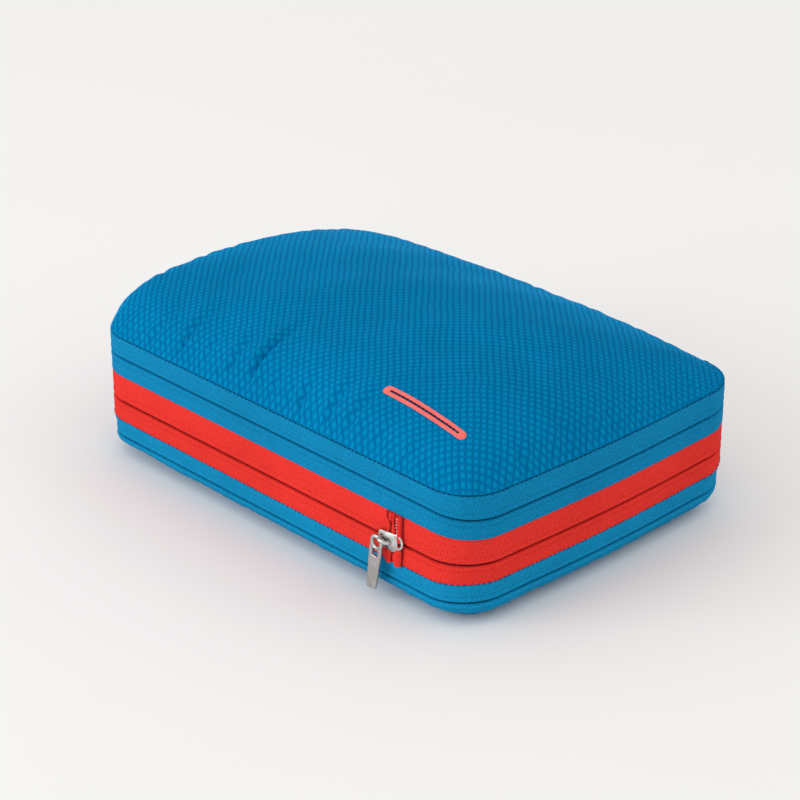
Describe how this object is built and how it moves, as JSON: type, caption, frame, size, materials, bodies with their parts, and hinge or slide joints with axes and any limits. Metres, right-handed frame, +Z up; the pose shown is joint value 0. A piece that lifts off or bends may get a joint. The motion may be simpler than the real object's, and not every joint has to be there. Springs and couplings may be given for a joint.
{
  "type": "packing cube",
  "caption": "Double-sided compression packing cube with rounded corners, a crowned ripstop top panel, stacked zip bands, a divider and an expanding gusset",
  "frame": {"origin": "centre of the plan outline, at the height of the flat part of the bottom panel that rests on a surface", "axes": "+X along the long side towards the end with the junction of the compression zip, -Y towards the side with the compression zip's slider, +Y towards the hinge side of both lids, +Z up"},
  "size_m": [0.2754, 0.1974, 0.1033],
  "materials": {
    "ripstop_blue": "fine diamond ripstop, soft sheen",
    "zip_tape_blue": "woven zip tape",
    "zip_tape_red": "woven zip tape",
    "trim_patch": "bonded film, satin",
    "coil_dark": "nylon coil",
    "coil_red": "nylon coil",
    "lining": "plain weave",
    "nickel": "polished plated zinc",
    "stop_metal": "plain"
  },
  "bodies": {
    "lower_wall": {"bottom_zip_upper_tape": "zip_tape_blue", "bottom_hinge_panel": "ripstop_blue", "bottom_zip_upper_coil": "coil_dark", "bottom_zip_stop_left": "stop_metal", "bottom_zip_stop_right": "stop_metal", "lower_seam_binding": "lining", "divider_panel": "lining", "compression_lower_tape": "zip_tape_red", "compression_lower_coil": "coil_red", "compression_lower_fold": "zip_tape_red"},
    "upper_wall": {"compression_upper_tape": "zip_tape_red", "compression_upper_coil": "coil_red", "compression_upper_fold": "zip_tape_red", "top_zip_lower_tape": "zip_tape_blue", "top_zip_lower_coil": "coil_dark", "top_zip_stop_left": "stop_metal", "top_zip_stop_right": "stop_metal", "top_hinge_panel": "ripstop_blue", "upper_seam_binding": "lining", "expansion_gusset": "ripstop_blue"},
    "top_lid": {"top_panel": "ripstop_blue", "top_trim_patch": "trim_patch", "top_zip_upper_tape": "zip_tape_blue", "top_zip_upper_coil": "coil_dark", "top_seam_binding": "lining"},
    "bottom_lid": {"bottom_panel": "ripstop_blue", "bottom_zip_lower_tape": "zip_tape_blue", "bottom_zip_lower_coil": "coil_dark", "bottom_seam_binding": "lining"},
    "compression_slider": {"compression_slider": "nickel"},
    "compression_pull": {"compression_pull": "nickel"},
    "top_slider": {"top_slider": "nickel"},
    "top_pull": {"top_pull": "nickel"},
    "bottom_slider": {"bottom_slider": "nickel"},
    "bottom_pull": {"bottom_pull": "nickel"}
  },
  "joints": [
    {"name": "expansion", "type": "slide", "parent": "lower_wall", "child": "upper_wall", "axis": [0, 0, 1], "range_m": [0, 0.035], "deforming": ["expansion_gusset"]},
    {"name": "top_lid_hinge", "type": "hinge", "parent": "upper_wall", "child": "top_lid", "pos_m": [0, 0.096, 0.06835], "axis": [-1, 0, 0], "range_deg": [0, 180]},
    {"name": "bottom_lid_hinge", "type": "hinge", "parent": "lower_wall", "child": "bottom_lid", "pos_m": [0, 0.088, 0.00685], "axis": [1, 0, 0], "range_deg": [0, 110]},
    {"name": "compression_slider_slide", "type": "slide", "parent": "lower_wall", "child": "compression_slider", "axis": [-1, 0, 0], "range_m": [0, 0.193]},
    {"name": "compression_pull_swing", "type": "hinge", "parent": "compression_slider", "child": "compression_pull", "pos_m": [0.0834, -0.099, 0.0333], "axis": [0, 1, 0], "range_deg": [-30, 100]},
    {"name": "top_slider_slide", "type": "slide", "parent": "upper_wall", "child": "top_slider", "axis": [0, -1, 0], "range_m": [0, 0.12]},
    {"name": "top_pull_swing", "type": "hinge", "parent": "top_slider", "child": "top_pull", "pos_m": [-0.138, 0.0544, 0.057], "axis": [1, 0, 0], "range_deg": [-100, 30]},
    {"name": "bottom_slider_slide", "type": "slide", "parent": "lower_wall", "child": "bottom_slider", "axis": [0, -1, 0], "range_m": [0, 0.12]},
    {"name": "bottom_pull_swing", "type": "hinge", "parent": "bottom_slider", "child": "bottom_pull", "pos_m": [-0.1365, 0.0544, 0.0155], "axis": [1, 0, 0], "range_deg": [-34, 96]}
  ]
}
